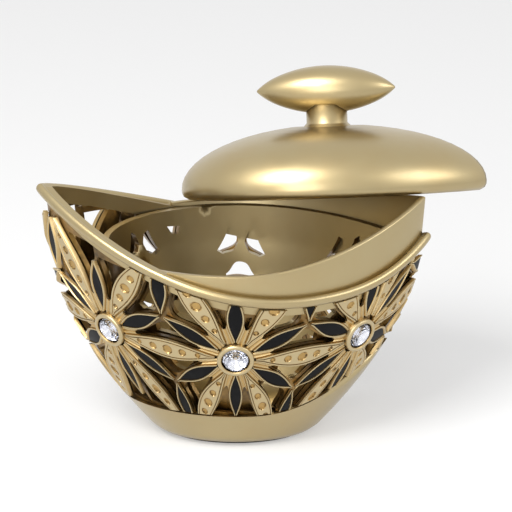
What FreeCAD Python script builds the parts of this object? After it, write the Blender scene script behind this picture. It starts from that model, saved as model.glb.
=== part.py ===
import FreeCAD, Part
import math
import os
from FreeCAD import Placement, Rotation, Vector

# Keepsake box: a boat-shaped openwork bowl with a raised prow, a smooth inner
# cup with a ledge, a collar that sweeps up at the right, and a loose domed lid
# with a marquise knob, set down askew on the collar.
# Millimetres, +Z up, origin under the middle of the foot.

doc = FreeCAD.newDocument("keepsake_box")
sheet = doc.addObject("Spreadsheet::Sheet", "sizes")

SIZES = (
    # outer form of the bowl
    ("rim_half_length", 90.0), ("rim_half_depth", 58.5),
    ("foot_half_length", 36.0), ("foot_half_depth", 26.0),
    ("prow_height", 121.0), ("swell_power", 2.29),
    ("foot_plan_power", 1.0), ("rim_plan_power", 1.75),
    # sheer lines, heights above the table
    ("rim_low_height", 82.5), ("rim_prow_rise", 38.0), ("rim_heel_rise", 14.0), ("rim_low_share", 0.45),
    ("collar_rise", 12.0), ("collar_heel_rise", 19.5),
    ("foot_line_height", 18.5), ("foot_line_rise", 25.5), ("foot_line_power", 3.5),
    ("flower_share", 0.5), ("prow_flower_drop", 0.067),
    # foot and felt
    ("felt_thickness", 1.2), ("felt_inset", 0.5), ("foot_edge_radius", 3.0),
    ("foot_floor", 9.0),
    # depths of the layers, measured in from the outer form
    ("petal_proud", 0.3), ("petal_seat", 1.8), ("wall_outer", 2.4), ("wall_inner", 5.0),
    ("cup_outer", 5.8), ("cup_inner", 8.8), ("layer_gap", 0.2),
    # rim bead and collar
    ("bead_proud", 2.4), ("bead_height", 5.0), ("band_height", 9.0), ("groove_depth", 1.5),
    ("collar_outer", 2.0),
    # inner cup
    ("ledge_rise", 10.0), ("cup_floor", 3.0), ("cup_end_inset", 20.0),
    # flower band
    ("flower_rise_share", 0.2734375),
    ("gold_petal_width", 10.0), ("leaf_width", 7.5), ("petal_tip_width", 1.2),
    ("opening_margin", 0.6), ("opening_least", 2.0), ("cup_opening_least", 3.2), ("cup_rim_margin", 3.5), ("leaf_gap", 0.8),
    # bezel and crystal
    ("bezel_radius", 8.6), ("bezel_bore", 6.4), ("bezel_height", 3.2), ("bezel_floor", 1.0),
    ("crystal_radius", 6.2), ("crystal_girdle", 1.4), ("crystal_crown", 1.7), ("crystal_table", 3.4),
    # lid, stem and knob
    ("lid_tip_length", 82.0), ("lid_round_length", 61.5), ("lid_half_depth", 47.0),
    ("lid_dome", 28.5), ("lid_edge", 4.5), ("lid_edge_roll", 2.2), ("lid_wall", 3.0),
    ("stem_offset", 8.0), ("stem_radius", 9.6), ("stem_flare", 1.6), ("stem_height", 10.0),
    ("stem_seat", 4.0), ("knob_length", 65.0), ("knob_height", 22.5), ("knob_tip_radius", 0.4),
    ("pin_radius", 3.0), ("pin_length", 24.0), ("pin_clearance", 0.1),
    ("lid_shift", 36.0), ("lid_back", 31.0), ("lid_yaw", 6.0), ("rest_gap", 0.3),
    ("cut_overrun", 2.0),
)
# Places of the flowers, as shares of the way round the bowl from the front.
FLOWER_SHARES = (0.0, 0.157, 0.300, 0.437, 0.569, 0.700, 0.841)
for row, (alias, value) in enumerate(SIZES, start=1):
    sheet.set("A%d" % row, alias)
    sheet.set("B%d" % row, str(value))
    sheet.setAlias("B%d" % row, alias)
doc.recompute()


def size(alias):
    return float(sheet.get(alias))


# The outer form: half length and half depth swell with height, and the plan
# goes from an oval at the foot to a pointed lens at the rim.
def swell(height):
    q = min(max(height / size("prow_height"), 0.0), 1.0)
    return 1.0 - (1.0 - q) ** size("swell_power")


def between(low, high, share):
    return low + (high - low) * share


def half_length(height):
    return between(size("foot_half_length"), size("rim_half_length"), swell(height))


def half_depth(height):
    return between(size("foot_half_depth"), size("rim_half_depth"), swell(height))


def plan_power(height):
    return between(size("foot_plan_power"), size("rim_plan_power"), swell(height))


def wall_point(angle, height, depth):
    """Point of the wall: angle 0 is the front, +90 degrees the right tip."""
    run = math.sin(angle)
    turn = math.cos(angle)
    across = math.copysign(abs(turn) ** plan_power(height), turn)
    return Vector((half_length(height) - depth) * run, -(half_depth(height) - depth) * across, height)


# Sheer lines, as heights over the angle round the bowl.
def rim_height(angle):
    share = math.sin(angle)
    low = size("rim_low_share")
    if share < low:
        return size("rim_low_height") + size("rim_prow_rise") * ((low - share) / (1.0 + low)) ** 2
    return size("rim_low_height") + size("rim_heel_rise") * ((share - low) / (1.0 - low)) ** 3


def collar_height(angle):
    low = size("rim_low_height") + size("collar_rise")
    return low + size("collar_heel_rise") * max(math.sin(angle), 0.0) ** 2


def foot_line(angle):
    return size("foot_line_height") + size("foot_line_rise") * max(math.sin(angle), 0.0) ** size("foot_line_power")


def flower_line(angle):
    share = size("flower_share") - size("prow_flower_drop") * max(-math.sin(angle), 0.0)
    return between(foot_line(angle), rim_height(angle), share)


def flower_rise():
    """Height from the flower line to the meeting points of the leaves."""
    return size("flower_rise_share") * (size("rim_low_height") - size("foot_line_height"))


# Angle at a share of the way round, measured along the flower line.
TURN_STEPS = 720


def turn_lengths():
    total = 0.0
    lengths = [0.0]
    last = wall_point(0.0, flower_line(0.0), 0.0)
    for step in range(1, TURN_STEPS + 1):
        angle = 2 * math.pi * step / TURN_STEPS
        place = wall_point(angle, flower_line(angle), 0.0)
        total += place.distanceToPoint(last)
        lengths.append(total)
        last = place
    return lengths


TURN_LENGTHS = turn_lengths()


def angle_at(share):
    whole = math.floor(share)
    target = (share - whole) * TURN_LENGTHS[-1]
    step = 1
    while TURN_LENGTHS[step] < target:
        step += 1
    low, high = TURN_LENGTHS[step - 1], TURN_LENGTHS[step]
    return 2 * math.pi * (whole + (step - 1 + (target - low) / (high - low)) / TURN_STEPS)


# Curves and solids. A ring is made of a front and a back half that meet at the
# two tips; each half is a strip of ruled faces between neighbouring curves.
HALF_POINTS = 11


def curve(points):
    line = Part.BSplineCurve()
    line.interpolate(points)
    return line.toShape()


def half_curve(point_at, first, last):
    steps = HALF_POINTS - 1
    return curve([point_at(between(first, last, step / steps)) for step in range(HALF_POINTS)])


def solid_from(faces):
    shell = Part.makeShell(faces)
    shell.sewShape()
    solid = Part.makeSolid(shell.Shells[0])
    if solid.Volume < 0:
        solid.reverse()
    return solid


def strip(edges, closed):
    pairs = list(zip(edges, edges[1:]))
    if closed:
        pairs.append((edges[-1], edges[0]))
    return [Part.makeRuledSurface(low, high) for low, high in pairs]


def ring_solid(point, levels, closed):
    """Solid round the bowl through (height at an angle, depth) levels."""
    faces = []
    ends = [[], []]
    for first, last in ((-math.pi / 2, math.pi / 2), (math.pi / 2, 3 * math.pi / 2)):
        edges = []
        for height, depth in levels:
            edges.append(half_curve(lambda angle: point(angle, height(angle), depth), first, last))
        faces += strip(edges, closed)
        ends[0].append(edges[0])
        ends[1].append(edges[-1])
    if not closed:
        faces += [Part.Face(Part.Wire(Part.__sortEdges__(pair))) for pair in ends]
    return solid_from(faces)


def level(height):
    return lambda angle: height


def along(low, high, share):
    return lambda angle: between(low(angle), high(angle), share)


def raised(line, rise):
    return lambda angle: line(angle) + rise


def add(label, shape):
    part = doc.addObject("Part::Feature", label)
    part.Label = label
    part.Shape = shape
    return part


# Foot: a smooth rounded bowl on an oval felt pad.
def foot_bowl():
    felt = size("felt_thickness")
    radius = size("foot_edge_radius")
    levels = []
    for turn_share in (0.0, 0.5, 1.0):
        turn = turn_share * math.pi / 2
        levels.append((level(felt + radius * (1 - math.cos(turn))), radius * (1 - math.sin(turn))))
    start = level(felt + radius)
    for share in (0.2, 0.4, 0.6, 0.8, 1.0):
        levels.append((along(start, foot_line, share), 0.0))
    for share in (1.0, 0.75, 0.5, 0.25, 0.0):
        levels.append((along(level(size("foot_floor")), foot_line, share), size("wall_inner")))
    return add("foot_bowl", ring_solid(wall_point, levels, False))


def felt_pad():
    oval = doc.addObject("Part::Ellipse", "felt_outline")
    oval.setExpression("MajorRadius", "sizes.foot_half_length - sizes.felt_inset - sizes.foot_edge_radius")
    oval.setExpression("MinorRadius", "sizes.foot_half_depth - sizes.felt_inset - sizes.foot_edge_radius")
    pad = doc.addObject("Part::Extrusion", "felt_pad")
    pad.Label = "felt_pad"
    pad.Base = oval
    pad.DirMode = "Custom"
    pad.Dir = Vector(0, 0, 1)
    pad.Solid = True
    pad.setExpression("LengthFwd", "sizes.felt_thickness")
    return pad


# Flower band. The pattern is drawn flat, x along the flower line and y up from
# it, in millimetres, and then laid on the wall.
LEAF_STATIONS = 7
LENS_POWER = 1.2
SEEK_STEPS = 120
# A black leaf leans 30 degrees to the gold petal beside it.
LEAF_SLANT = 1 / math.cos(math.pi / 6)


def on_wall(place, depth):
    angle = angle_at(place.x / TURN_LENGTHS[-1])
    return wall_point(angle, flower_line(angle) + place.y, depth)


def lens_width(share, width):
    tip = size("petal_tip_width")
    share = min(max(share, 0.0), 1.0)
    return tip + (width - tip) * math.sin(math.pi * share) ** LENS_POWER


def wall_patch(left_at, right_at, outer_depth, inner_depth):
    """Solid on the wall between two side lines of the pattern, both run from 0 to 1."""
    corners = [[], [], [], []]
    for station in range(LEAF_STATIONS):
        share = station / (LEAF_STATIONS - 1)
        left = left_at(share)
        right = right_at(share)
        for corner, (place, depth) in enumerate(
                ((left, outer_depth), (right, outer_depth), (right, inner_depth), (left, inner_depth))):
            corners[corner].append(on_wall(place, depth))
    faces = strip([curve(points) for points in corners], True)
    for end_index in (0, -1):
        rows = [points[end_index] for points in corners]
        faces.append(Part.makeRuledSurface(Part.makeLine(rows[0], rows[1]), Part.makeLine(rows[3], rows[2])))
    return solid_from(faces)


def in_band(place, hubs):
    """True where a place of the pattern is clear of the bead, the foot and the bezels."""
    angle = angle_at(place.x / TURN_LENGTHS[-1])
    height = flower_line(angle) + place.y
    low = foot_line(angle) + size("leaf_gap")
    high = rim_height(angle) - size("bead_height") - size("leaf_gap")
    spot = on_wall(place, 0.0)
    clear = size("bezel_radius") + size("leaf_gap")
    return low < height < high and all(spot.distanceToPoint(on_wall(hub, 0.0)) > clear for hub in hubs)


def leaf(start, end, width, lens_shares, outer_depth, hubs):
    """Lens-shaped leaf on the wall, each side ending where it meets bezel, bead or foot."""
    way = (end - start).normalize()
    left_way = Vector(-way.y, way.x, 0)

    def side_line(side):
        def place(share):
            lens_share = (share - lens_shares[0]) / (lens_shares[1] - lens_shares[0])
            offset = side * lens_width(lens_share, width) / 2
            return start + (end - start) * share + left_way * offset
        clear = [step / SEEK_STEPS for step in range(SEEK_STEPS + 1) if in_band(place(step / SEEK_STEPS), hubs)]
        first = max(clear[0], lens_shares[0])
        last = min(clear[-1], lens_shares[1])
        return lambda share: place(between(first, last, share))
    lines = side_line(1), side_line(-1)
    breaks = [tip_share(line) for line in lines]
    if None in breaks:
        ends = [line if split is None else part_line(line, split, 0) for line, split in zip(lines, breaks)]
        return [wall_patch(*ends, outer_depth, size("petal_seat"))]
    solids = []
    for part in (0, 1):
        halves = [part_line(line, split, part) for line, split in zip(lines, breaks)]
        solids.append(wall_patch(*halves, outer_depth, size("petal_seat")))
    return solids


def tip_share(line):
    """Share at which a side line goes round a tip of the bowl, or None."""
    def front(share):
        return math.cos(angle_at(line(share).x / TURN_LENGTHS[-1]))
    if front(0.0) * front(1.0) > 0:
        return None
    low, high = 0.0, 1.0
    for step in range(SEEK_STEPS):
        middle = (low + high) / 2
        if front(low) * front(middle) > 0:
            low = middle
        else:
            high = middle
    return low


def part_line(line, split, part):
    """The stretch of a side line before or after the tip."""
    first, last = ((0.0, split), (split, 1.0))[part]
    return lambda share: line(between(first, last, share))


def hub_share(start, end):
    """Share of a leaf that lies under its flower's bezel."""
    return size("bezel_radius") / (end - start).Length


def columns(index):
    """Pattern x of the flower before, the flower itself and the one after."""
    count = len(FLOWER_SHARES)
    shares = [FLOWER_SHARES[(index + step) % count] + (index + step) // count for step in (-1, 0, 1)]
    return [share * TURN_LENGTHS[-1] for share in shares]


def gold_petals(index):
    """One long petal to the next flower and four short ones to bead and foot."""
    before, here, after = columns(index)
    centre = Vector(here, 0, 0)
    beside = Vector(after, 0, 0)
    ends = [(beside, (centre, beside))]
    for side in (before, after):
        for way in (-1, 1):
            ends.append((Vector((here + side) / 2, way * 3 * flower_rise(), 0), (centre,)))
    solids = []
    for end, hubs in ends:
        hub = hub_share(centre, end)
        solids += leaf(centre, end, size("gold_petal_width"), (hub, 1 - hub), -size("petal_proud"), hubs)
    return add("flower_%d_petals" % (index + 1), Part.makeCompound(solids))


def enamel_leaves(index):
    """Black leaves to the meeting points, up and down, and from the next meeting points on to bead and foot."""
    before, here, after = columns(index)
    centre = Vector(here, 0, 0)
    rise = flower_rise()
    ends = [Vector((here + side) / 2, way * rise, 0) for side in (before, after) for way in (-1, 1)]
    ends += [Vector(here, way * 2 * rise, 0) for way in (-1, 1)]
    solids = []
    for end in ends:
        tip = 1 - size("petal_tip_width") / (end - centre).Length
        solids += leaf(centre, end, size("leaf_width"), (hub_share(centre, end), tip), 0.0, (centre,))
    for way in (-1, 1):
        start = Vector((here + after) / 2, way * 3 * rise, 0)
        end = Vector((here + after) / 2, way * rise, 0)
        tip = 1 - size("petal_tip_width") / (end - start).Length
        solids += leaf(start, end, size("leaf_width"), (hub_share(start, end), tip), 0.0, ())
    return add("flower_%d_enamel" % (index + 1), Part.makeCompound(solids))


# Openings round each meeting point of three leaves, cut through wall and cup.
def cut_depth():
    """Depth that goes through the cup, also at its rounded end, which lies farther in."""
    return size("cup_inner") + size("cup_end_inset") + size("cut_overrun")


def wide_stretch(gap_at, last, least):
    """The stretch of shares, up to the last one, over which an opening is wide enough to cut."""
    shares = [last * step / SEEK_STEPS for step in range(SEEK_STEPS + 1)]
    wide = [share for share in shares if gap_at(share) > least]
    return (wide[0], wide[-1]) if len(wide) > 1 else None


def opening(first, second, meeting, least):
    """Opening between the gold petal that joins two flowers and the two black leaves beside it."""
    way = second - first
    lean = meeting - first
    rise = (way.x * lean.y - way.y * lean.x) / way.Length
    side_way = Vector(-way.y, way.x, 0).normalize() * math.copysign(1.0, rise)
    hub = hub_share(first, second)
    margin = size("opening_margin")

    def near(share):
        return lens_width((share - hub) / (1 - 2 * hub), size("gold_petal_width")) / 2 + margin

    def far(share):
        along_leaf = 1 - abs(2 * share - 1)
        leaf_half = lens_width((along_leaf - 2 * hub) / (1 - 2 * hub), size("leaf_width")) / 2
        reach = abs(rise) * along_leaf - leaf_half * LEAF_SLANT - margin
        return min(reach, abs(rise) - size("leaf_width") / 2)
    ends = wide_stretch(lambda share: far(share) - near(share), 1.0, least)

    def line(offset_at):
        def place(share):
            share = between(ends[0], ends[1], share)
            return first + way * share + side_way * offset_at(share)
        return place
    return wall_patch(line(near), line(far), -size("cut_overrun"), cut_depth())


def side_gap(centre, beside, way, least):
    """Opening between a flower's upright leaf and the short petal next to it, up to bead or foot."""
    rise = flower_rise()
    margin = size("opening_margin")
    lean = Vector((beside - centre.x) / 2, 3 * rise, 0)
    petal_hub = hub_share(Vector(), lean)
    leaf_hub = size("bezel_radius") / (2 * rise)
    angle = angle_at((centre.x + lean.x / 3) / TURN_LENGTHS[-1])
    if way > 0:
        room = rim_height(angle) - size("band_height") - flower_line(angle)
    else:
        room = flower_line(angle) - foot_line(angle)

    def near(up):
        lens_share = (up / (2 * rise) - leaf_hub) / (1 - leaf_hub)
        return lens_width(lens_share, size("leaf_width")) / 2 + margin

    def far(up):
        lens_share = (up / lean.y - petal_hub) / (1 - 2 * petal_hub)
        half = lens_width(lens_share, size("gold_petal_width")) / 2 * lean.Length / lean.y
        return abs(lean.x) * up / lean.y - half - margin
    ends = wide_stretch(lambda up: far(up) - near(up), room - size("opening_least"), least)
    if ends is None:
        return None

    def line(offset_at):
        def place(share):
            up = between(ends[0], ends[1], share)
            return Vector(centre.x + math.copysign(offset_at(up), lean.x), way * up, 0)
        return place
    return wall_patch(line(near), line(far), -size("cut_overrun"), cut_depth())


# The one side gap that also goes through the cup: fifth flower, prow side, upper.
CUP_GAP = (4, 1, 1)


def side_gaps(least):
    """Side gaps of every flower: flower index, way round, way up and cutting solid."""
    gaps = []
    for index in range(len(FLOWER_SHARES)):
        before, here, after = columns(index)
        for turn, beside in ((-1, before), (1, after)):
            for way in (-1, 1):
                tool = side_gap(Vector(here, 0, 0), beside, way, least)
                if tool is not None:
                    gaps.append((index, turn, way, tool))
    return gaps


def openings(least):
    rise = flower_rise()
    tools = []
    for index in range(len(FLOWER_SHARES)):
        before, here, after = columns(index)
        for way in (-1, 1):
            meeting = Vector((here + after) / 2, way * rise, 0)
            outer = Vector((here + after) / 2, way * 3 * rise, 0)
            first = Vector(here, 0, 0)
            second = Vector(after, 0, 0)
            for start, end in ((first, second), (first, outer), (second, outer)):
                tools.append(opening(start, end, meeting, least))
    return tools


def pierced_wall(tools):
    low = raised(foot_line, size("layer_gap"))
    high = raised(rim_height, -size("band_height") - size("layer_gap"))
    shares = (0.0, 0.25, 0.5, 0.75, 1.0)
    levels = [(along(low, high, share), size("wall_outer")) for share in shares]
    levels += [(along(low, high, share), size("wall_inner")) for share in reversed(shares)]
    wall = ring_solid(wall_point, levels, True)
    return add("pierced_wall", wall.cut(tools))


# Rim: a plain band with a rounded bead along its outer edge and a groove inside.
BEAD_SHARES = ((0.9, 0.55), (0.5, 1.0), (0.12, 0.6))


def rim_bead():
    band = size("band_height")
    bead = size("bead_height")
    outer = size("wall_outer")
    groove = raised(rim_height, -size("groove_depth"))
    levels = [(raised(rim_height, -band), size("wall_inner")), (raised(rim_height, -band), outer),
              (raised(rim_height, -bead), outer)]
    for drop_share, proud_share in BEAD_SHARES:
        levels.append((raised(rim_height, -bead * drop_share), -size("bead_proud") * proud_share))
    levels += [(rim_height, 0.0), (groove, size("collar_outer")), (groove, size("wall_inner"))]
    return add("rim_bead", ring_solid(wall_point, levels, True))


def collar_start():
    """Angle at the left front where the collar comes out of the rim's groove."""
    angle = -math.pi / 2
    while collar_height(angle) < rim_height(angle):
        angle += math.pi / TURN_STEPS
    return angle


def collar():
    """The wall that stands on the rim band and sweeps up to the right tip."""
    start = collar_start()
    foot = raised(rim_height, size("layer_gap") - size("groove_depth"))
    outer = size("collar_outer")
    inner = size("wall_inner")
    levels = ((foot, outer), (collar_height, outer), (collar_height, inner), (foot, inner))
    faces = []
    for first, last, closed_end in ((start, math.pi / 2, start), (math.pi / 2, math.pi - start, math.pi - start)):
        edges = []
        for height, depth in levels:
            edges.append(half_curve(lambda angle: wall_point(angle, height(angle), depth), first, last))
        faces += strip(edges, True)
        rows = [wall_point(closed_end, height(closed_end), depth) for height, depth in levels]
        faces.append(Part.makeRuledSurface(Part.makeLine(rows[0], rows[1]), Part.makeLine(rows[3], rows[2])))
    return add("collar", solid_from(faces))


# Inner cup: pointed at the right like the wall, rounded at the left, open on top.
def cup_point(angle, height, depth):
    place = wall_point(angle, height, depth)
    if math.sin(angle) < 0:
        reach = half_length(height) - depth - size("cup_end_inset")
        side = half_depth(height) - depth
        place = Vector(reach * math.sin(angle), -side * math.cos(angle), height)
    return place


def inner_cup(tools):
    """The cup keeps the openings below its ledge and above the foot line."""
    floor = size("foot_floor")
    inside = floor + size("cup_floor")
    ledge = size("rim_low_height") + size("ledge_rise")
    low = size("foot_line_height")
    reach = 2 * size("rim_half_length")
    band = Part.makeBox(reach, reach, ledge - size("cup_rim_margin") - low, Vector(-reach / 2, -reach / 2, low))
    shares = (0.0, 0.06, 0.14, 0.25, 0.4, 0.6, 0.8, 1.0)
    levels = [(level(between(floor, ledge, share)), size("cup_outer")) for share in shares]
    levels += [(level(between(inside, ledge, share)), size("cup_inner")) for share in reversed(shares)]
    cup = ring_solid(cup_point, levels, False)
    return add("inner_cup", cup.cut([tool.common(band) for tool in tools]))


# Bezel and crystal of a flower, on the wall's own normal.
def seat_on_wall(share):
    angle = angle_at(share)
    height = flower_line(angle)
    step = math.pi / TURN_STEPS
    round_way = wall_point(angle + step, height, 0.0) - wall_point(angle - step, height, 0.0)
    up_way = wall_point(angle, height + step, 0.0) - wall_point(angle, height - step, 0.0)
    normal = round_way.cross(up_way).normalize()
    seat = wall_point(angle, height, size("petal_seat"))
    return Placement(seat, Rotation(round_way, up_way, normal, "ZXY"))


def disc(name, radius, height, rise="0"):
    body = doc.addObject("Part::Cylinder", name)
    body.setExpression("Radius", radius)
    body.setExpression("Height", height)
    body.setExpression("Placement.Base.z", rise)
    return body


def bezel(index):
    name = "bezel_%d" % (index + 1)
    cut = doc.addObject("Part::Cut", name)
    cut.Label = name
    cut.Base = disc(name + "_outer", "sizes.bezel_radius", "sizes.bezel_height")
    cut.Tool = disc(name + "_bore", "sizes.bezel_bore", "sizes.bezel_height", "sizes.bezel_floor")
    cut.Placement = seat_on_wall(FLOWER_SHARES[index])
    return cut


def crystal(index):
    """Round stone: a straight girdle under a bevelled crown."""
    name = "crystal_%d" % (index + 1)
    crown = doc.addObject("Part::Cone", name + "_crown")
    crown.setExpression("Radius1", "sizes.crystal_radius")
    crown.setExpression("Radius2", "sizes.crystal_table")
    crown.setExpression("Height", "sizes.crystal_crown")
    crown.setExpression("Placement.Base.z", "sizes.bezel_floor + sizes.crystal_girdle")
    stone = doc.addObject("Part::Fuse", name)
    stone.Label = name
    stone.Base = disc(name + "_girdle", "sizes.crystal_radius", "sizes.crystal_girdle", "sizes.bezel_floor")
    stone.Tool = crown
    stone.Placement = seat_on_wall(FLOWER_SHARES[index])
    return stone


# Lid: a hollow dome over an almond plan, blunt at the left and pointed at the
# right, in its own frame with its flat underside at zero height.
def lid_point(angle, height, scale):
    run = math.sin(angle)
    turn = math.cos(angle)
    if run > 0:
        reach = size("lid_tip_length") * run
        across = math.copysign(abs(turn) ** size("rim_plan_power"), turn)
    else:
        reach = size("lid_round_length") * run
        across = turn
    centre = size("stem_offset") * (1 - scale)
    return Vector(centre + reach * scale, -size("lid_half_depth") * across * scale, height)


def lid_top():
    """Height of the flat seat under the stem."""
    seat = (size("stem_radius") + size("stem_flare")) / size("lid_half_depth")
    return size("lid_edge") + size("lid_dome") * math.sqrt(1 - seat ** 2)


DOME_RINGS = 12
ROLL_SHARES = (0.0, 0.3, 0.65)


def dome_levels(edge, dome, scale, top):
    """Levels of a dome from its edge height up to its flat top."""
    last_turn = math.asin((top - edge) / dome)
    levels = []
    for ring in range(DOME_RINGS + 1):
        turn = last_turn * ring / DOME_RINGS
        levels.append((level(edge + dome * math.sin(turn)), scale * math.cos(turn)))
    return levels


def lid_shell(rest):
    """Hollow dome with a rolled lower edge, left thick under the stem."""
    edge = size("lid_edge")
    levels = []
    for share in ROLL_SHARES:
        inset = size("lid_edge_roll") * (1 - math.sqrt(1 - (1 - share) ** 2))
        levels.append((level(edge * share), 1 - inset / size("lid_half_depth")))
    levels += dome_levels(edge, size("lid_dome"), 1.0, lid_top())
    dome = ring_solid(lid_point, levels, False)
    wall = size("lid_wall")
    inner = 1 - wall / size("lid_half_depth")
    ceiling = lid_top() - pin_depth() - wall
    hollow = [(level(-wall), inner)]
    hollow += dome_levels(0.0, edge + size("lid_dome") - wall, inner, ceiling)
    hole = Part.makeCylinder(size("pin_radius") + size("pin_clearance"), size("pin_length"),
                             Vector(size("stem_offset"), 0, lid_top() - pin_depth()))
    part = add("lid_shell", dome.cut(ring_solid(lid_point, hollow, False)).cut(hole))
    part.Placement = rest
    return part


def pin_depth():
    """How far the pin reaches down into the lid."""
    return (size("pin_length") - size("stem_height")) / 2


def stem_place(rest):
    return rest * Placement(Vector(size("stem_offset"), 0, lid_top()), Rotation())


def knob_stem(rest):
    flare = doc.addObject("Part::Cone", "stem_flare_cone")
    flare.setExpression("Radius1", "sizes.stem_radius + sizes.stem_flare")
    flare.setExpression("Radius2", "sizes.stem_radius")
    flare.setExpression("Height", "sizes.stem_flare")
    shaft = doc.addObject("Part::Fuse", "stem_shaft")
    shaft.Base = disc("stem_column", "sizes.stem_radius", "sizes.stem_height")
    shaft.Tool = flare
    stem = doc.addObject("Part::Cut", "knob_stem")
    stem.Label = "knob_stem"
    stem.Base = shaft
    stem.Tool = disc("stem_bore", "sizes.pin_radius + sizes.pin_clearance", "sizes.stem_height")
    stem.Placement = stem_place(rest)
    return stem


def knob_pin(rest):
    pin = disc("knob_pin", "sizes.pin_radius", "sizes.pin_length")
    pin.Label = "knob_pin"
    pin.setExpression("Placement.Base.z", None)
    pin.Placement = stem_place(rest) * Placement(Vector(0, 0, -pin_depth()), Rotation())
    return pin


KNOB_POWER = 0.8


def knob(rest):
    """Marquise knob: a lens profile with blunt tips, turned about its long axis."""
    half = size("knob_length") / 2
    crown = size("knob_height") / 2
    profile = []
    for station in range(HALF_POINTS):
        run = 2 * station / (HALF_POINTS - 1) - 1
        reach = between(size("knob_tip_radius"), crown, (1 - run * run) ** KNOB_POWER)
        profile.append(Vector(half * run, 0, reach))
    ends = Vector(-half, 0, 0), Vector(half, 0, 0)
    outline = Part.Wire([
        Part.makeLine(ends[0], profile[0]),
        curve(profile),
        Part.makeLine(profile[-1], ends[1]),
        Part.makeLine(ends[1], ends[0]),
    ])
    spindle = Part.Face(outline).revolve(Vector(0, 0, 0), Vector(1, 0, 0), 360)
    top = size("stem_height")
    spindle.translate(Vector(0, 0, top - size("stem_seat") + crown))
    gap = size("pin_clearance")
    socket = Part.makeCylinder(size("stem_radius") + gap, top + gap)
    hole = Part.makeCylinder(size("pin_radius") + gap, size("pin_length") - pin_depth() + gap)
    part = add("knob", spindle.cut(socket).cut(hole))
    part.Placement = stem_place(rest)
    return part


# The lid lies askew: its underside touches the collar at the left back, the
# middle of the back and the right tip.
REST_SHARES = (0.545, 0.41, 0.25)


def lid_rest():
    middle = (size("collar_outer") + size("wall_inner")) / 2
    touch = []
    for share in REST_SHARES:
        angle = 2 * math.pi * share
        touch.append(wall_point(angle, collar_height(angle), middle))
    up = (touch[2] - touch[0]).cross(touch[1] - touch[0]).normalize()
    if up.z < 0:
        up = up * -1
    yaw = math.radians(size("lid_yaw"))
    ahead = Vector(math.cos(yaw), -math.sin(yaw), 0)
    ahead = (ahead - up * ahead.dot(up)).normalize()
    flat = Vector(size("lid_shift"), size("lid_back"), 0)
    heights = []
    for step in range(TURN_STEPS):
        angle = 2 * math.pi * step / TURN_STEPS
        for depth in (size("collar_outer"), size("wall_inner")):
            top = wall_point(angle, collar_height(angle), depth)
            heights.append(top.z + (up.x * (top.x - flat.x) + up.y * (top.y - flat.y)) / up.z)
    base = flat + Vector(0, 0, max(heights)) + up * size("rest_gap")
    return Placement(base, Rotation(ahead, up.cross(ahead), up, "ZXY"))


def build():
    least = size("opening_least")
    wall_tools = openings(least) + [tool for index, turn, way, tool in side_gaps(least)]
    least = size("cup_opening_least")
    cup_tools = openings(least)
    cup_tools += [tool for index, turn, way, tool in side_gaps(least) if (index, turn, way) == CUP_GAP]
    parts = [felt_pad(), foot_bowl(), pierced_wall(wall_tools), rim_bead(), collar(), inner_cup(cup_tools)]
    for index in range(len(FLOWER_SHARES)):
        parts += [gold_petals(index), enamel_leaves(index), bezel(index), crystal(index)]
    rest = lid_rest()
    parts += [lid_shell(rest), knob_stem(rest), knob_pin(rest), knob(rest)]
    return parts


pieces = build()
doc.recompute()
for item in doc.Objects:
    if "Invalid" in item.State or "Error" in item.State:
        raise RuntimeError("failed: " + item.Name)
for piece in pieces:
    if piece.Shape.isNull() or not piece.Shape.isValid():
        raise RuntimeError("bad shape: " + piece.Label)
os.makedirs("parts", exist_ok=True)
for piece in pieces:
    piece.Shape.exportStep("parts/%s.step" % piece.Label)
    print(piece.Label, len(piece.Shape.Solids), round(piece.Shape.Volume))
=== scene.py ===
# %% [markdown]
# # A gilt keepsake box
# The box is a boat-shaped openwork bowl in satin gold. A band of flowers runs round it: gold petals
# with punched dimples, black enamel leaves with fine gold edges, and a clear crystal in the middle of
# each flower. A smooth cup sits inside, and a loose domed lid lies askew on top.
# The imported model is loaded as the fixed frame.

# %% Load the frame
import math

import bmesh
import bpy
from mathutils import Matrix, Vector


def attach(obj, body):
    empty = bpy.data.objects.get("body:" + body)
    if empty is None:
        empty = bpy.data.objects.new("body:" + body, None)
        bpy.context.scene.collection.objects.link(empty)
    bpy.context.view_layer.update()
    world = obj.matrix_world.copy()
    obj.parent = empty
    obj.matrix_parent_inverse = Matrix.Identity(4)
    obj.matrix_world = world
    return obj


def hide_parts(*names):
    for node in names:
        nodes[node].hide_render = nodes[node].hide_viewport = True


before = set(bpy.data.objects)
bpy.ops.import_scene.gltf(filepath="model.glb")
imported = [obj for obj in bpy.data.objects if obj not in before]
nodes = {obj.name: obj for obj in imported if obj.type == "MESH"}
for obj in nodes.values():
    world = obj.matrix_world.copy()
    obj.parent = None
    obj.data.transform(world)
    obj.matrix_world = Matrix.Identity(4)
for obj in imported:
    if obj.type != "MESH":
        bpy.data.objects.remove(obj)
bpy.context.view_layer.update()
MM = 0.001

# %% [markdown]
# ## The form of the wall
# Every ornament lies on one curved wall, so the wall is written down once as a small formula. Its
# half length and half depth swell with height, and its plan goes from an oval at the foot to a
# pointed lens at the rim. Angle 0 is the front, a quarter turn is the right tip. All values are in
# millimetres, and are turned into metres only when a mesh point is placed.

# %% Wall formula
PROW_HEIGHT = 121.0
FOOT_HALF = (36.0, 26.0)
RIM_HALF = (90.0, 58.5)
PLAN_POWERS = (1.0, 1.75)
SWELL_POWER = 2.29
RIM_LOW, RIM_LOW_SHARE = 82.5, 0.45
PROW_RISE, TIP_RISE = 38.0, 14.0
COLLAR_LOW, COLLAR_RISE = 94.5, 19.5
FOOT_LOW, FOOT_RISE, FOOT_POWER = 18.5, 25.5, 3.5
FLOWER_SHARE, PROW_FLOWER_DROP = 0.5, 0.067


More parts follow.
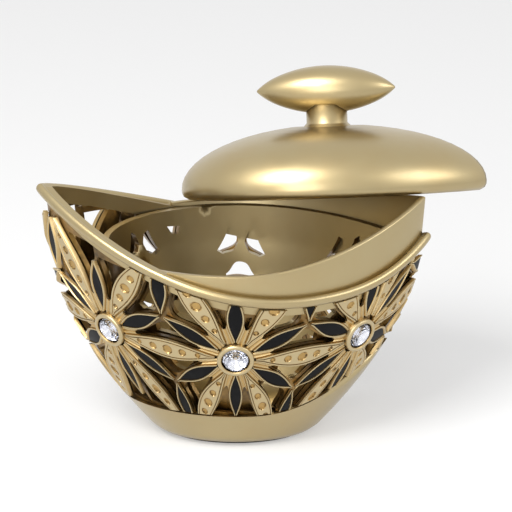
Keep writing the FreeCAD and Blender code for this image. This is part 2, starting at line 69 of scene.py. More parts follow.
def between(low, high, share):
    return low + (high - low) * share


def wall_point(angle, height, depth):
    """Point of the wall at an angle and a height, moved inwards by a depth."""
    q = min(max(height / PROW_HEIGHT, 0.0), 1.0)
    swell = 1.0 - (1.0 - q) ** SWELL_POWER
    long_half = between(FOOT_HALF[0], RIM_HALF[0], swell) - depth
    deep_half = between(FOOT_HALF[1], RIM_HALF[1], swell) - depth
    turn = math.cos(angle)
    across = math.copysign(abs(turn) ** between(*PLAN_POWERS, swell), turn)
    return Vector((long_half * math.sin(angle), -deep_half * across, height))


def rim_height(angle):
    """The rim is lowest right of the front, and rises to the prow and less to the right tip."""
    past = math.sin(angle) - RIM_LOW_SHARE
    if past < 0:
        return RIM_LOW + PROW_RISE * (past / (1 + RIM_LOW_SHARE)) ** 2
    return RIM_LOW + TIP_RISE * (past / (1 - RIM_LOW_SHARE)) ** 3


def collar_height(angle):
    return COLLAR_LOW + COLLAR_RISE * max(math.sin(angle), 0.0) ** 2


def foot_line(angle):
    return FOOT_LOW + FOOT_RISE * max(math.sin(angle), 0.0) ** FOOT_POWER


def flower_line(angle):
    share = FLOWER_SHARE - PROW_FLOWER_DROP * max(-math.sin(angle), 0.0)
    return between(foot_line(angle), rim_height(angle), share)


print("wall at the prow:", tuple(wall_point(-math.pi / 2, PROW_HEIGHT, 0.0)))

# %% [markdown]
# ## The flat pattern
# A goldsmith would draw the flowers flat and then bend the sheet. The pattern here is flat too:
# x runs along the line of flowers and y goes up from it. `on_wall` lays a place of the pattern on
# the wall at a chosen depth, negative being proud of the wall.

# %% From pattern to wall
TURN_STEPS = 720
FLOWER_SHARES = (0.0, 0.157, 0.300, 0.437, 0.569, 0.700, 0.841)
turn_lengths = [0.0]
for step in range(1, TURN_STEPS + 1):
    angles = [2 * math.pi * (step - back) / TURN_STEPS for back in (0, 1)]
    ends = [wall_point(angle, flower_line(angle), 0.0) for angle in angles]
    turn_lengths.append(turn_lengths[-1] + (ends[0] - ends[1]).length)
ROUND = turn_lengths[-1]


def angle_at(run):
    """Angle of the wall after a run along the line of flowers."""
    turns = math.floor(run / ROUND)
    rest = run - turns * ROUND
    low, high = 0, TURN_STEPS
    while high - low > 1:
        middle = (low + high) // 2
        if turn_lengths[middle] <= rest:
            low = middle
        else:
            high = middle
    share = (rest - turn_lengths[low]) / (turn_lengths[high] - turn_lengths[low])
    return 2 * math.pi * (turns + (low + share) / TURN_STEPS)


def on_wall(place, depth):
    angle = angle_at(place.x)
    return wall_point(angle, flower_line(angle) + place.y, depth)


print("flower line is %.0f mm round" % ROUND)

# %% [markdown]
# ## Finishes
# Three effects are shared, so each is a node group. `satin_cloud` gives the slow, soft change of tone
# that hand-finished gilding has. Another lays a darker colour over the gold where a mask says so,
# first as a warm tint and then brown: this is antique wash, and painted shade where the mask marks
# recesses. `grain` is the very fine stipple that keeps the shine soft. The shaders stay in the
# materials.

# %% Shared effects
def node_group(name, inputs, outputs):
    group = bpy.data.node_groups.new(name, "ShaderNodeTree")
    for label, kind, value in inputs:
        socket = group.interface.new_socket(name=label, in_out="INPUT", socket_type=kind)
        socket.default_value = value
    for label, kind in outputs:
        group.interface.new_socket(name=label, in_out="OUTPUT", socket_type=kind)
    return group, group.nodes.new("NodeGroupInput"), group.nodes.new("NodeGroupOutput")


FLOAT, COLOUR = "NodeSocketFloat", "NodeSocketColor"
WHITE, BLACK = (1.0, 1.0, 1.0, 1.0), (0.0, 0.0, 0.0, 1.0)
THIN_WASH = 0.45
satin_cloud, ins, outs = node_group(
    "satin_cloud", [("Scale", FLOAT, 30.0), ("Low", FLOAT, 0.0), ("High", FLOAT, 1.0)],
    [("Value", FLOAT)])
place = satin_cloud.nodes.new("ShaderNodeTexCoord")
noise = satin_cloud.nodes.new("ShaderNodeTexNoise")
noise.inputs["Detail"].default_value = 3.0
spread = satin_cloud.nodes.new("ShaderNodeMapRange")
spread.inputs["From Min"].default_value = 0.3
spread.inputs["From Max"].default_value = 0.7
satin_cloud.links.new(place.outputs["Object"], noise.inputs["Vector"])
satin_cloud.links.new(ins.outputs["Scale"], noise.inputs["Scale"])
satin_cloud.links.new(noise.outputs["Fac"], spread.inputs["Value"])
satin_cloud.links.new(ins.outputs["Low"], spread.inputs["To Min"])
satin_cloud.links.new(ins.outputs["High"], spread.inputs["To Max"])
satin_cloud.links.new(spread.outputs["Result"], outs.inputs["Value"])

antique_wash_and_shade, ins, outs = node_group(
    "antique_wash_and_shade", [("Gold", COLOUR, WHITE), ("Tint", COLOUR, WHITE), ("Wash", COLOUR, BLACK),
                     ("Mask", FLOAT, 0.0)],
    [("Color", COLOUR)])
mottle = antique_wash_and_shade.nodes.new("ShaderNodeGroup")
mottle.node_tree = satin_cloud
mottle.inputs["Scale"].default_value = 260.0
mottle.inputs["Low"].default_value = 0.75
mottle.inputs["High"].default_value = 1.1
amount = antique_wash_and_shade.nodes.new("ShaderNodeMath")
amount.operation = "MULTIPLY"
amount.use_clamp = True
antique_wash_and_shade.links.new(ins.outputs["Mask"], amount.inputs[0])
antique_wash_and_shade.links.new(mottle.outputs["Value"], amount.inputs[1])
tinted = antique_wash_and_shade.nodes.new("ShaderNodeMix")
tinted.data_type = "RGBA"
tinted.blend_type = "MULTIPLY"
laid = antique_wash_and_shade.nodes.new("ShaderNodeMix")
laid.data_type = "RGBA"
for mix, low, high in ((tinted, 0.0, THIN_WASH), (laid, THIN_WASH, 1.0)):
    share = antique_wash_and_shade.nodes.new("ShaderNodeMapRange")
    share.inputs["From Min"].default_value = low
    share.inputs["From Max"].default_value = high
    antique_wash_and_shade.links.new(amount.outputs["Value"], share.inputs["Value"])
    antique_wash_and_shade.links.new(share.outputs["Result"], mix.inputs["Factor"])
antique_wash_and_shade.links.new(ins.outputs["Gold"], tinted.inputs["A"])
antique_wash_and_shade.links.new(ins.outputs["Tint"], tinted.inputs["B"])
antique_wash_and_shade.links.new(tinted.outputs["Result"], laid.inputs["A"])
antique_wash_and_shade.links.new(ins.outputs["Wash"], laid.inputs["B"])
antique_wash_and_shade.links.new(laid.outputs["Result"], outs.inputs["Color"])

grain, ins, outs = node_group("grain", [("Scale", FLOAT, 2500.0)], [("Height", FLOAT)])
place = grain.nodes.new("ShaderNodeTexCoord")
stipple = grain.nodes.new("ShaderNodeTexNoise")
stipple.inputs["Detail"].default_value = 2.0
grain.links.new(place.outputs["Object"], stipple.inputs["Vector"])
grain.links.new(ins.outputs["Scale"], stipple.inputs["Scale"])
grain.links.new(stipple.outputs["Fac"], outs.inputs["Height"])
print("shared effects:", [group.name for group in (satin_cloud, antique_wash_and_shade, grain)])

# %% [markdown]
# ## Satin gold
# The smooth parts are a champagne gold paint under a clear satin lacquer. The gold is a full metal, so
# its base colour is the tint of what it mirrors. A fairly high roughness spreads highlights wide, and
# the coat adds their white core.

# %% Gold materials
GOLD = (0.42, 0.337, 0.178, 1.0)
PETAL_GOLD = (0.50, 0.40, 0.22, 1.0)
# The deep gold and the brown below make sunken gold dark: antique wash together with painted shade of
# the recesses.
DEEP_GOLD = (0.33, 0.245, 0.105, 1.0)
BROWN_WASH_AND_SHADE = (0.055, 0.033, 0.012, 1.0)
AMBER_TINT = (0.95, 0.74, 0.40, 1.0)


def blank(name):
    material = bpy.data.materials.new(name)
    material.use_nodes = True
    return material, material.node_tree, material.node_tree.nodes["Principled BSDF"]


def effect(tree, group, **values):
    """A shared effect as a node of a material, with some of its inputs set."""
    node = tree.nodes.new("ShaderNodeGroup")
    node.node_tree = group
    for label, value in values.items():
        node.inputs[label].default_value = value
    return node


def gilt(name, gold, wash_shade_colour, rough, cloud=(0.0, 0.08), attribute=None, stipple=0.02, tint=AMBER_TINT):
    """Lacquered metal. Its darker tone follows a vertex attribute or, without one, a soft cloud. The
    tone is antique wash, and on sunken gold it is painted shade as well.
    """
    material, tree, shader = blank(name)
    shader.inputs["Metallic"].default_value = 1.0
    shader.inputs["Coat Weight"].default_value = 0.6
    shader.inputs["Coat Roughness"].default_value = 0.26
    laid_on = effect(tree, antique_wash_and_shade, Gold=gold, Tint=tint, Wash=wash_shade_colour)
    if attribute:
        mask = tree.nodes.new("ShaderNodeAttribute")
        mask.attribute_name = attribute
        tree.links.new(mask.outputs["Fac"], laid_on.inputs["Mask"])
    else:
        mask = effect(tree, satin_cloud, Scale=45.0, Low=cloud[0], High=cloud[1])
        tree.links.new(mask.outputs["Value"], laid_on.inputs["Mask"])
    tree.links.new(laid_on.outputs["Color"], shader.inputs["Base Color"])
    sheen = effect(tree, satin_cloud, Scale=70.0, Low=rough[0], High=rough[1])
    tree.links.new(sheen.outputs["Value"], shader.inputs["Roughness"])
    fine = effect(tree, grain)
    bump = tree.nodes.new("ShaderNodeBump")
    bump.inputs["Strength"].default_value = stipple
    bump.inputs["Distance"].default_value = 0.0002
    tree.links.new(fine.outputs["Height"], bump.inputs["Height"])
    tree.links.new(bump.outputs["Normal"], shader.inputs["Normal"])
    return material


satin_gold = gilt("satin_gold", GOLD, DEEP_GOLD, (0.33, 0.40))
# The recessed gold is dark and washed brown almost all over: painted shade of the wall deep behind the
# openwork, on top of its antique wash.
wall_gold = gilt("recess_shade_gold", DEEP_GOLD, BROWN_WASH_AND_SHADE, (0.36, 0.5), cloud=(0.45, 1.0))
# Petal gold darkens where the recess attribute says: antique wash and painted shade in engraved lines,
# dimples and other sunken places.
petal_gold = gilt("petal_gold", PETAL_GOLD, BROWN_WASH_AND_SHADE, (0.38, 0.46), attribute="recess",
                  stipple=0.08)
print("gold finishes:", [material.name for material in (satin_gold, wall_gold, petal_gold)])

# %% [markdown]
# ## Enamel, crystal, foil, felt and steel
# The enamel is an almost black, half-matt glaze. A crystal is clear glass over a bright foil,
# which is why it flashes white and dark. The felt is under the foot, and the steel pin is inside the
# knob.

# %% Other materials
enamel_black, tree, shader = blank("black_enamel")
cloud = effect(tree, satin_cloud, Scale=160.0, Low=0.28, High=0.42)
tree.links.new(cloud.outputs["Value"], shader.inputs["Roughness"])
tone = effect(tree, antique_wash_and_shade, Gold=(0.004, 0.004, 0.0045, 1.0), Wash=(0.010, 0.010, 0.011, 1.0))
drift = effect(tree, satin_cloud, Scale=120.0)
tree.links.new(drift.outputs["Value"], tone.inputs["Mask"])
tree.links.new(tone.outputs["Color"], shader.inputs["Base Color"])
shader.inputs["Specular IOR Level"].default_value = 0.12

crystal_glass, tree, shader = blank("crystal_glass")
shader.inputs["Base Color"].default_value = (0.97, 0.975, 1.0, 1.0)
shader.inputs["Roughness"].default_value = 0.0
shader.inputs["IOR"].default_value = 1.56
shader.inputs["Transmission Weight"].default_value = 1.0

crystal_foil, tree, shader = blank("crystal_foil")
shader.inputs["Metallic"].default_value = 1.0
shader.inputs["Roughness"].default_value = 0.08
tint = effect(tree, antique_wash_and_shade, Gold=(0.86, 0.87, 0.91, 1.0), Wash=(0.60, 0.61, 0.68, 1.0))
drift = effect(tree, satin_cloud, Scale=300.0)
tree.links.new(drift.outputs["Value"], tint.inputs["Mask"])
tree.links.new(tint.outputs["Color"], shader.inputs["Base Color"])

felt, tree, shader = blank("black_felt")
shader.inputs["Roughness"].default_value = 0.95
shader.inputs["Sheen Weight"].default_value = 0.3
fuzz = effect(tree, antique_wash_and_shade, Gold=(0.018, 0.017, 0.016, 1.0), Wash=(0.05, 0.048, 0.045, 1.0))
drift = effect(tree, satin_cloud, Scale=900.0)
tree.links.new(drift.outputs["Value"], fuzz.inputs["Mask"])
tree.links.new(fuzz.outputs["Color"], shader.inputs["Base Color"])

pin_steel = gilt("pin_steel", (0.42, 0.42, 0.43, 1.0), (0.25, 0.25, 0.26, 1.0), (0.3, 0.4),
                 tint=(0.8, 0.8, 0.8, 1.0))
other_finishes = (enamel_black, crystal_glass, crystal_foil, felt, pin_steel)
print("other finishes:", [material.name for material in other_finishes])

# %% [markdown]
# ## Smooth skins for the large forms
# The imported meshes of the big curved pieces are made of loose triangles. A copy of each is merged and
# shaded smooth, with edges kept sharp where the form really turns, so that highlights flow over it.

# %% Smooth skins
SKIN_MERGE = 0.02
SKIN_SHARP = 35.0
CUP_FLAT, CUP_INWARD = 0.7, -0.3


def add_piece(name, mesh, material_list, body):
    piece = bpy.data.objects.new(name, mesh)
    bpy.context.scene.collection.objects.link(piece)
    for material in material_list:
        mesh.materials.append(material)
    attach(piece, body)
    return piece


def shade(mesh, sharp_degrees):
    """Smooth shading, with edges sharp where faces turn by more than the angle."""
    for face in mesh.polygons:
        face.use_smooth = True
    mesh.set_sharp_from_angle(angle=math.radians(sharp_degrees))


def skin(node, material, body):
    bm = bmesh.new()
    bm.from_mesh(nodes[node].data)
    bmesh.ops.remove_doubles(bm, verts=bm.verts, dist=SKIN_MERGE * MM)
    mesh = bpy.data.meshes.new(node + "_skin")
    bm.to_mesh(mesh)
    bm.free()
    mesh.materials.clear()
    shade(mesh, SKIN_SHARP)
    piece = add_piece(node + "_skin", mesh, [material], body)
    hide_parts(node)
    return piece


skin("foot_bowl", satin_gold, "box")
# The cup's inside and ledge are satin. Its outside and the walls of its holes take the recessed gold:
# painted shade of the narrow gap behind the pierced wall, over a brown wash.
cup_skin = skin("inner_cup", satin_gold, "box")
cup_skin.data.materials.append(wall_gold)
for face in cup_skin.data.polygons:
    outward = Vector((face.center.x, face.center.y, 0.0)).normalized()
    painted_shade_side = face.normal.z < CUP_FLAT and face.normal.dot(outward) > CUP_INWARD
    face.material_index = int(painted_shade_side)
skin("pierced_wall", wall_gold, "box")
for node in ("lid_shell", "knob_stem", "knob"):
    skin(node, satin_gold, "lid")


def paint(node, material):
    slots = nodes[node].data.materials
    slots.clear()
    slots.append(material)


paint("felt_pad", felt)
paint("knob_pin", pin_steel)
print("skins done")

# %% [markdown]
# ## Rim bead and collar
# Both are one profile swept round the wall. The profile is a list of heights over the rim line or the
# collar line, each with a depth, so the round bead and the softened top edges of the collar stay even
# all the way. The bead goes right round, and the collar runs where it stands higher than the rim.

# %% Sweeps
WALL_INNER = 5.0
BAND_LOW, BAND_DEPTH = -9.6, 2.4
BEAD_HEIGHT, BEAD_PROUD, BEAD_STEPS = 5.0, 2.4, 12
GROOVE, GROOVE_DEPTH, GROOVE_LIP = 1.5, 1.6, (-0.3, 0.7)
COLLAR_START, COLLAR_DEPTH = 0.2 - GROOVE, 2.0
COLLAR_EDGE = ((-0.7, COLLAR_DEPTH), (-0.2, 2.2), (0.0, 2.7),
               (0.0, 4.3), (-0.2, 4.8), (-0.7, WALL_INNER))
RIM_STEPS, COLLAR_STEPS = 720, 480
SWEEP_MERGE = 0.004
SWEEP_SHARP = 50.0


def sweep(levels, first, last, steps):
    """Closed mesh of a profile, given as line, rise and depth, from the first angle to the last."""
    rows = len(levels)
    bm = bmesh.new()
    for vert in bmesh.ops.create_grid(bm, x_segments=steps, y_segments=rows, size=1.0)["verts"]:
        angle = between(first, last, (vert.co.x + 1) / 2)
        line, rise, depth = levels[round((vert.co.y + 1) / 2 * rows) % rows]
        vert.co = wall_point(angle, line(angle) + rise, depth) * MM
    bmesh.ops.remove_doubles(bm, verts=bm.verts, dist=SWEEP_MERGE * MM)
    bmesh.ops.holes_fill(bm, edges=bm.edges, sides=0)
    bmesh.ops.recalc_face_normals(bm, faces=bm.faces)
    return bm


def swept_piece(node, levels, first, last, steps):
    bm = sweep(levels, first, last, steps)
    mesh = bpy.data.meshes.new(node + "_sweep")
    bm.to_mesh(mesh)
    bm.free()
    shade(mesh, SWEEP_SHARP)
    piece = add_piece(node + "_sweep", mesh, [satin_gold], "box")
    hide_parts(node)
    print(piece.name, len(mesh.polygons))


rim_levels = [(rim_height, BAND_LOW, WALL_INNER), (rim_height, BAND_LOW, BAND_DEPTH),
              (rim_height, -BEAD_HEIGHT, BAND_DEPTH)]
for step in range(BEAD_STEPS + 1):
    turn = math.pi * step / BEAD_STEPS
    rise = -BEAD_HEIGHT * (1 + math.cos(turn)) / 2
    rim_levels.append((rim_height, rise, -BEAD_PROUD * math.sin(turn)))
rim_levels += [(rim_height, *GROOVE_LIP), (rim_height, -GROOVE, GROOVE_DEPTH),
               (rim_height, -GROOVE, WALL_INNER)]
swept_piece("rim_bead", rim_levels, -math.pi / 2, 3 * math.pi / 2, RIM_STEPS)

collar_first = -math.pi / 2
while collar_height(collar_first) < rim_height(collar_first):
    collar_first += math.pi / TURN_STEPS
collar_levels = [(rim_height, COLLAR_START, COLLAR_DEPTH)]
collar_levels += [(collar_height, rise, depth) for rise, depth in COLLAR_EDGE]
collar_levels.append((rim_height, COLLAR_START, WALL_INNER))
swept_piece("collar", collar_levels, collar_first, math.pi - collar_first, COLLAR_STEPS)

# %% [markdown]
# ## Side lines of a leaf
# Petals and leaves are lenses between two flowers or two meeting points. Each has two side lines in
# the flat pattern, and each line stops where it meets a bezel, the bead or the foot. A leaf that goes
# round a tip of the bowl is parted there, because the wall has an edge at its tips.

# %% Side lines
BEZEL_RADIUS = 8.6
LEAF_GAP = 0.8
TIP_WIDTH = 1.2
LENS_POWER = 1.2
SEEK_STEPS = 120


def lens_width(share, width):
    share = min(max(share, 0.0), 1.0)
    return TIP_WIDTH + (width - TIP_WIDTH) * math.sin(math.pi * share) ** LENS_POWER


def in_band(place, hubs):
    """Whether a place is clear of foot, bead and the bezels at the hubs."""
    angle = angle_at(place.x)
    height = flower_line(angle) + place.y
    spot = on_wall(place, 0.0)
    clear = all((spot - on_wall(hub, 0.0)).length > BEZEL_RADIUS + LEAF_GAP for hub in hubs)
    low, high = foot_line(angle) + LEAF_GAP, rim_height(angle) - BEAD_HEIGHT - LEAF_GAP
    return clear and low < height < high


def side_line(start, end, offset_at, hubs, reach):
    """Line beside the run from start to end, cut to its stretch in the band and to its reach."""
    left_way = Vector((start.y - end.y, end.x - start.x, 0.0)).normalized()

    def place(share):
        return start.lerp(end, share) + left_way * offset_at(share)
    shares = [step / SEEK_STEPS for step in range(SEEK_STEPS + 1)]
    clear = [share for share in shares if in_band(place(share), hubs)]
    first, last = max(clear[0], reach[0]), min(clear[-1], reach[1])
    return lambda share: place(between(first, last, share))


def tip_share(line):
    """Share of a line at which it passes a tip of the bowl, or None."""
    def front(share):
        return math.cos(angle_at(line(share).x))
    if front(0.0) * front(1.0) > 0:
        return None
    low, high = 0.0, 1.0
    for step in range(SEEK_STEPS):
        middle = (low + high) / 2
        if front(low) * front(middle) > 0:
            low = middle
        else:
            high = middle
    return low


def stretch(line, first, last):
    return lambda share: line(between(first, last, share))


def leaf_lines(start, end, width, reach, hubs):
    """Left and right side lines of a leaf, as one pair or, round a tip, two."""
    def half(share):
        return lens_width((share - reach[0]) / (reach[1] - reach[0]), width) / 2
    lines = [side_line(start, end, lambda share, side=side: side * half(share), hubs, reach)
             for side in (1, -1)]
    breaks = [tip_share(line) for line in lines]
    if None in breaks:
        return [[line if cut is None else stretch(line, 0.0, cut)
                 for line, cut in zip(lines, breaks)]]
    return [[stretch(line, 0.0, cut) for line, cut in zip(lines, breaks)],
            [stretch(line, cut, 1.0) for line, cut in zip(lines, breaks)]]


# %% [markdown]
# ## Relief on a leaf
# A leaf starts as a flat grid. Its outer rows follow the two side lines at fixed distances, so an edge
# or an engraved line stays crisp, and the rows between are spread evenly. Each point is then pushed in
# by the relief and laid on the wall. The rim of the sheet is extruded down to the wall to close its
# sides.

# %% Leaf grid
CELL, LEAST_COLUMNS = 0.34, 6
SEAT_DEPTH = 1.8
EDGE_LIMIT = 0.42
RELIEF_SHARP = 40.0


def drop_sides(bm, sheet):
    """Close the sides of a sheet by extruding its rim down to the seat."""
    flat = bm.verts.layers.float_vector["place"]
    rim = {edge for vert in sheet for edge in vert.link_edges if edge.is_boundary}
    for vert in bmesh.ops.extrude_edge_only(bm, edges=list(rim))["geom"]:
        if isinstance(vert, bmesh.types.BMVert):
            vert.co = on_wall(Vector(vert[flat]), SEAT_DEPTH) * MM


def leaf_grid(bm, pair, edge_rows, inner_rows, relief, field=False):
    """relief(place, row) gives the depth of a point and its share of antique wash and painted shade.
    Rows count in from the edge. With field, the faces inside the edge rows take the second material."""
    left, right = pair
    flat = bm.verts.layers.float_vector["place"]
    recess = bm.verts.layers.float["recess"]
    inside = set()
    length = (left(1.0) + right(1.0) - left(0.0) - right(0.0)).length / 2
    columns = max(int(length / CELL), LEAST_COLUMNS)
    rows = 2 * (len(edge_rows) - 1) + inner_rows
    made = bmesh.ops.create_grid(bm, x_segments=columns, y_segments=rows, size=1.0)["verts"]
    for vert in made:
        share = (vert.co.x + 1) / 2
        row = round((vert.co.y + 1) / 2 * rows)
        far_side = row > rows / 2
        row = min(row, rows - row)
        ends = (left(share), right(share)) if far_side else (right(share), left(share))
        across = (ends[1] - ends[0]).length
        shrink = min(1.0, EDGE_LIMIT * across / edge_rows[-1])
        if row < len(edge_rows):
            inset = edge_rows[row] * shrink
        else:
            inner_share = (row - len(edge_rows) + 1) / (inner_rows / 2)
            inset = between(edge_rows[-1] * shrink, across / 2, inner_share)
        place = ends[0].lerp(ends[1], inset / across)
        depth, vert[recess] = relief(place, row)
        vert[flat] = place
        vert.co = on_wall(place, depth) * MM
        if field and row >= len(edge_rows) - 1:
            inside.add(vert)
    for face in {face for vert in inside for face in vert.link_faces}:
        face.material_index = int(inside.issuperset(face.verts))
    drop_sides(bm, made)


def relief_mesh():
    bm = bmesh.new()
    bm.verts.layers.float_vector.new("place")
    bm.verts.layers.float.new("recess")
    return bm


def relief_piece(bm, name, material_list, node):
    bm.verts.layers.float_vector.remove(bm.verts.layers.float_vector["place"])
    mesh = bpy.data.meshes.new(name)
    bm.to_mesh(mesh)
    bm.free()
    shade(mesh, RELIEF_SHARP)
    piece = add_piece(name, mesh, material_list, "box")
    if node:
        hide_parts(node)
    return piece


# %% [markdown]
# ## Gold petals
# Each flower has six gold petals: two long ones shared with its neighbours and four that run out
# towards the bead or the foot. A fine engraved line follows the edge, and five round dimples, small to
# large to small, are punched along the middle.

# %% Petals
FLOWER_RISE = 17.5
PETAL_WIDTH = 10.0
PETAL_TOP = -0.3
PETAL_ROWS = (0.0, 0.25, 0.85, 1.0, 1.25, 1.4)
PETAL_DROPS = (0.4, 0.0, 0.0, 0.35, 0.35, 0.05)
# Dark share of each edge row, antique wash with painted shade: the outer edge and the sunken engraved
# line are darkened.
PETAL_WASH_AND_SHADE = (0.25, 0.0, 0.0, 0.95, 0.95, 0.1)
PETAL_INNER_ROWS = 20
PETAL_FIELD_DROP = 0.05
DIMPLE_SHARES = (0.19, 0.345, 0.5, 0.655, 0.81)
DIMPLE_RADII = (1.05, 1.6, 2.15, 1.6, 1.05)
DIMPLE_DEPTH = 0.8
DIMPLE_EDGE = 0.2
# Dimple walls are darkened most and dimple floors half: painted shade in the punched hollows, with
# antique wash.
DIMPLE_WALL, DIMPLE_WALL_WASH_AND_SHADE, DIMPLE_FLOOR_WASH_AND_SHADE = 0.25, 0.9, 0.5


def lattice(x, rises):
    """Place of the pattern at a column, a number of rises above the line of flowers."""
    return Vector((x, rises * FLOWER_RISE, 0.0))


def flower_columns(index):
    """Columns of the flower before, the flower itself and the one after."""
    count = len(FLOWER_SHARES)
    shares = [FLOWER_SHARES[(index + step) % count] + (index + step) // count for step in (-1, 0, 1)]
    return [share * ROUND for share in shares]


def hub_share(start, end):
    """Share of a run that lies under the bezel at its start."""
    return BEZEL_RADIUS / (end - start).length


def petal_relief(start, end, hub):
    centres = [start.lerp(end, between(hub, 1 - hub, share)) for share in DIMPLE_SHARES]

    def relief(place, row):
        if row < len(PETAL_ROWS):
            return PETAL_TOP + PETAL_DROPS[row], PETAL_WASH_AND_SHADE[row]
        drop, wash_shade_share = PETAL_FIELD_DROP, 0.0
        for centre, radius in zip(centres, DIMPLE_RADII):
            inside = radius - (place - centre).length
            if inside > -DIMPLE_EDGE:
                down = min((inside + DIMPLE_EDGE) / (2 * DIMPLE_EDGE), 1.0)
                drop += DIMPLE_DEPTH * down
                wash_shade_share = DIMPLE_WALL_WASH_AND_SHADE if inside < DIMPLE_WALL else DIMPLE_FLOOR_WASH_AND_SHADE
        return PETAL_TOP + drop, wash_shade_share
    return relief


for index in range(len(FLOWER_SHARES)):
    before, here, after = flower_columns(index)
    centre, beside = lattice(here, 0), lattice(after, 0)
    aims = [(beside, (centre, beside))]
    aims += [(lattice((here + side) / 2, 3 * way), (centre,))
             for side in (before, after) for way in (-1, 1)]
    bm = relief_mesh()
    for end, hubs in aims:
        hub = hub_share(centre, end)
        for pair in leaf_lines(centre, end, PETAL_WIDTH, (hub, 1 - hub), hubs):
            leaf_grid(bm, pair, PETAL_ROWS, PETAL_INNER_ROWS, petal_relief(centre, end, hub))
    piece = relief_piece(bm, "petals_%d" % (index + 1), [petal_gold],
                         "flower_%d_petals" % (index + 1))
    print(piece.name, len(piece.data.polygons))

# %% [markdown]
# ## Enamel leaves
# The black leaves run from the flowers, and from bead and foot, to the points where three leaves meet.
# Each is a shallow tray: a fine gold wire stands round a sunken field of black enamel.

# %% Leaves
LEAF_WIDTH = 7.5
LEAF_TOP = -0.15
LEAF_ROWS = (0.0, 0.2, 0.7, 0.9)
LEAF_DROPS = (0.35, 0.0, 0.0, 0.6)
# Dark share of each edge row, antique wash with painted shade: the outer edge and the drop into the
# enamel are darkened.
LEAF_WASH_AND_SHADE = (0.3, 0.0, 0.0, 0.5)
LEAF_INNER_ROWS = 8
ENAMEL_DROP = 0.52


def leaf_relief(place, row):
    if row < len(LEAF_ROWS):
        return LEAF_TOP + LEAF_DROPS[row], LEAF_WASH_AND_SHADE[row]
    return LEAF_TOP + ENAMEL_DROP, 0.0


for index in range(len(FLOWER_SHARES)):
    before, here, after = flower_columns(index)
    centre, halfway = lattice(here, 0), (here + after) / 2
    runs = [(centre, lattice((here + side) / 2, way), (centre,))
            for side in (before, after) for way in (-1, 1)]
    runs += [(centre, lattice(here, 2 * way), (centre,)) for way in (-1, 1)]
    runs += [(lattice(halfway, 3 * way), lattice(halfway, way), ()) for way in (-1, 1)]
    bm = relief_mesh()
    for start, end, hubs in runs:
        reach = hub_share(start, end), 1 - TIP_WIDTH / (end - start).length
        for pair in leaf_lines(start, end, LEAF_WIDTH, reach, hubs):
            leaf_grid(bm, pair, LEAF_ROWS, LEAF_INNER_ROWS, leaf_relief, field=True)
    piece = relief_piece(bm, "leaves_%d" % (index + 1), [petal_gold, enamel_black],
                         "flower_%d_enamel" % (index + 1))
    print(piece.name, len(piece.data.polygons))

# %% [markdown]
# ## Webs round the hubs
# Between each petal and the leaf beside it a small web of gold reaches out from the bezel. It has a
# raised line along both sides, and its outer end is cut back in a curve, which gives the openings
# their round ends.

# %% Webs
WEB_NEAR, WEB_FAR, WEB_DIP = 8.3, 19.5, 3.2
WEB_COLUMNS, WEB_ROWS = 12, 6
WEB_RIDGES, RIDGE_HALF = (0.22, 0.78), 0.2
# The web floor between the raised lines is darkened by this share: painted shade of the sunken floor,
# with antique wash.
WEB_FLOOR, WEB_RISE, WEB_WASH_AND_SHADE = 0.8, 0.5, 0.4


def spoke(centre, end, width, reach):
    """Bearing of a petal or leaf from its hub, and half the angle it takes up at a radius."""
    run = end - centre

    def half_angle(radius):
        share = (radius / run.length - reach[0]) / (reach[1] - reach[0])
        return math.asin(lens_width(share, width) / 2 / radius)
    return math.atan2(run.y, run.x) % (2 * math.pi), half_angle


def web(bm, centre, first, second):
    """Sheet between two spokes, from the bezel out to a curved end."""
    flat = bm.verts.layers.float_vector["place"]
    recess = bm.verts.layers.float["recess"]
    gap = (second[0] - first[0]) % (2 * math.pi)
    made = bmesh.ops.create_grid(bm, x_segments=WEB_COLUMNS, y_segments=WEB_ROWS, size=1.0)
    for vert in made["verts"]:
        across, out = (vert.co.x + 1) / 2, (vert.co.y + 1) / 2
        radius = between(WEB_NEAR, WEB_FAR - WEB_DIP * (1 - (2 * across - 1) ** 2), out)
        low, high = first[1](radius), gap - second[1](radius)
        bearing = first[0] + between(low, max(low, high), across)
        ridge = max(0.0, *(1 - abs(across - line) / RIDGE_HALF for line in WEB_RIDGES))
        vert[flat] = centre + Vector((math.cos(bearing), math.sin(bearing), 0.0)) * radius
        vert[recess] = WEB_WASH_AND_SHADE * (1 - ridge)
        vert.co = on_wall(Vector(vert[flat]), WEB_FLOOR - WEB_RISE * ridge) * MM
    drop_sides(bm, made["verts"])


for index in range(len(FLOWER_SHARES)):
    before, here, after = flower_columns(index)
    centre = lattice(here, 0)
    petal_ends, leaf_ends = [], [lattice(here, 2 * way) for way in (-1, 1)]
    for side in (before, after):
        petal_ends.append(lattice(side, 0))
        petal_ends += [lattice((here + side) / 2, 3 * way) for way in (-1, 1)]
        leaf_ends += [lattice((here + side) / 2, way) for way in (-1, 1)]
    spokes = []
    for end in petal_ends:
        hub = hub_share(centre, end)
        spokes.append(spoke(centre, end, PETAL_WIDTH, (hub, 1 - hub)))
    for end in leaf_ends:
        spokes.append(spoke(centre, end, LEAF_WIDTH, (hub_share(centre, end), 1.0)))
    spokes.sort(key=lambda pair: pair[0])
    bm = relief_mesh()
    for first, second in zip(spokes, spokes[1:] + spokes[:1]):
        web(bm, centre, first, second)
    piece = relief_piece(bm, "webs_%d" % (index + 1), [petal_gold], None)
    print(piece.name, len(piece.data.polygons))

# %% [markdown]
# ## Bezels and crystals
# A round gold ring holds each crystal. The ring is one rounded profile spun about its axis, and its
# inner wall is darkened: painted shade with antique wash. The stone is a faceted glass crown over a
# foiled point, built from one circle by extruding it up to the table and down to the point.

